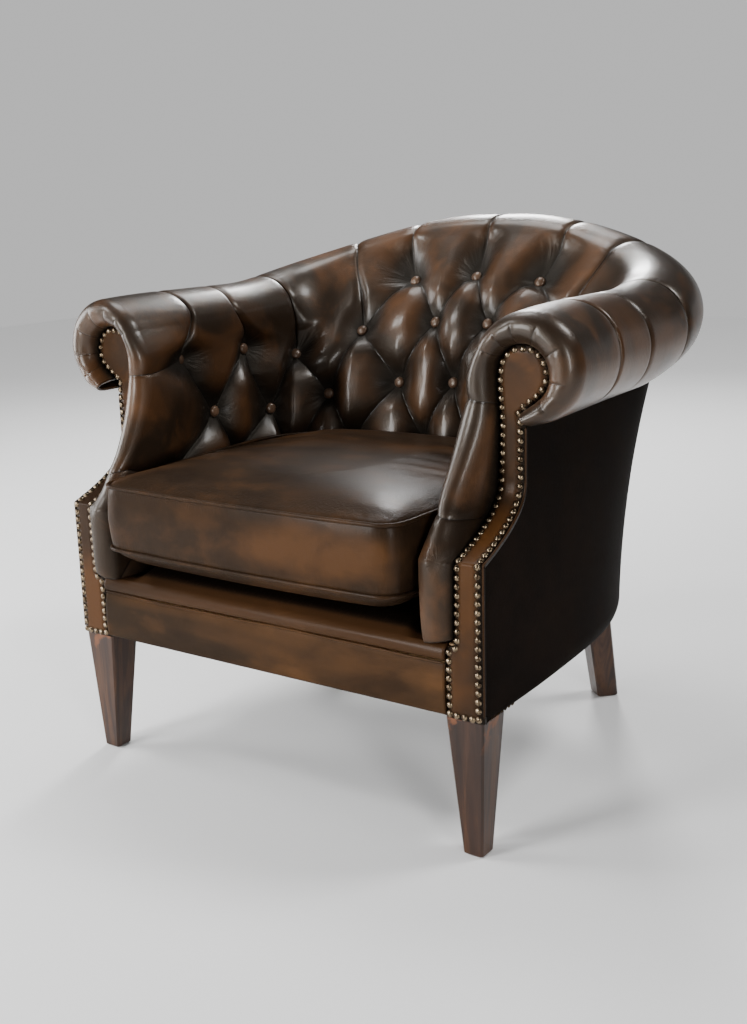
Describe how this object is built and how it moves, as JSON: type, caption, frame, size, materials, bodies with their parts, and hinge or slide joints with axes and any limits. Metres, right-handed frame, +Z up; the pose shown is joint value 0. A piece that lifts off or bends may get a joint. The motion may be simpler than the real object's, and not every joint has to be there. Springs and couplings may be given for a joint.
{
  "type": "tub armchair",
  "caption": "Deep-buttoned leather tub armchair with scroll arms, a loose boxed seat cushion, nail-trimmed facings and tapered timber legs.",
  "frame": {"origin": "middle of the chair's footprint box, on the floor", "axes": "+X across the chair to the side whose pieces are named right, +Y from the seat's front to the back of the chair, +Z up"},
  "size_m": [0.8408, 0.782, 0.7635],
  "materials": {
    "leather": "hand-rubbed dark brown, glossy",
    "worn_leather": "the same leather rubbed lighter at the facings and buttons",
    "walnut": "dark stained and polished",
    "beech": "planed, unfinished",
    "canvas": "black woven dust cover",
    "jute": "woven webbing",
    "nails": "antique bronze domed heads"
  },
  "bodies": {
    "chair": {"right_front_leg": "walnut", "left_front_leg": "walnut", "right_rear_leg": "walnut", "left_rear_leg": "walnut", "right_arm_facing": "worn_leather", "left_arm_facing": "worn_leather", "right_arm_post": "beech", "left_arm_post": "beech", "right_seat_rail": "beech", "left_seat_rail": "beech", "rear_seat_rail": "beech", "front_seat_rail": "beech", "right_front_corner_block": "beech", "left_front_corner_block": "beech", "right_rear_corner_block": "beech", "left_rear_corner_block": "beech", "centre_upright": "beech", "right_rear_upright": "beech", "left_rear_upright": "beech", "back_rail": "beech", "right_arm_rail": "beech", "left_arm_rail": "beech", "seat_web_long_1": "jute", "seat_web_long_2": "jute", "seat_web_long_3": "jute", "seat_web_cross_1": "jute", "seat_web_cross_2": "jute", "seat_web_cross_3": "jute", "seat_deck": "leather", "front_border": "leather", "dust_cover": "canvas", "inside_back": "leather", "right_inside_arm": "leather", "left_inside_arm": "leather", "outer_back_cover": "leather", "right_outer_arm_cover": "leather", "left_outer_arm_cover": "leather", "button_row1_1": "worn_leather", "button_row1_2": "worn_leather", "button_row1_3": "worn_leather", "button_row2_1": "worn_leather", "button_row2_2": "worn_leather", "button_row2_3": "worn_leather", "button_row2_4": "worn_leather", "button_row2_5": "worn_leather", "button_row2_6": "worn_leather", "button_row2_7": "worn_leather", "button_row2_8": "worn_leather", "button_row2_9": "worn_leather", "button_row2_10": "worn_leather", "button_row3_1": "worn_leather", "button_row3_2": "worn_leather", "button_row3_3": "worn_leather", "button_row3_4": "worn_leather", "button_row3_5": "worn_leather", "button_row3_6": "worn_leather", "button_row3_7": "worn_leather", "button_row3_8": "worn_leather", "button_row3_9": "worn_leather"},
    "cushion": {"seat_cushion": "leather"}
  },
  "joints": [
    {"name": "cushion_lift", "type": "slide", "parent": "chair", "child": "cushion", "axis": [0, 0, 1], "range_m": [0, 0.25]}
  ]
}
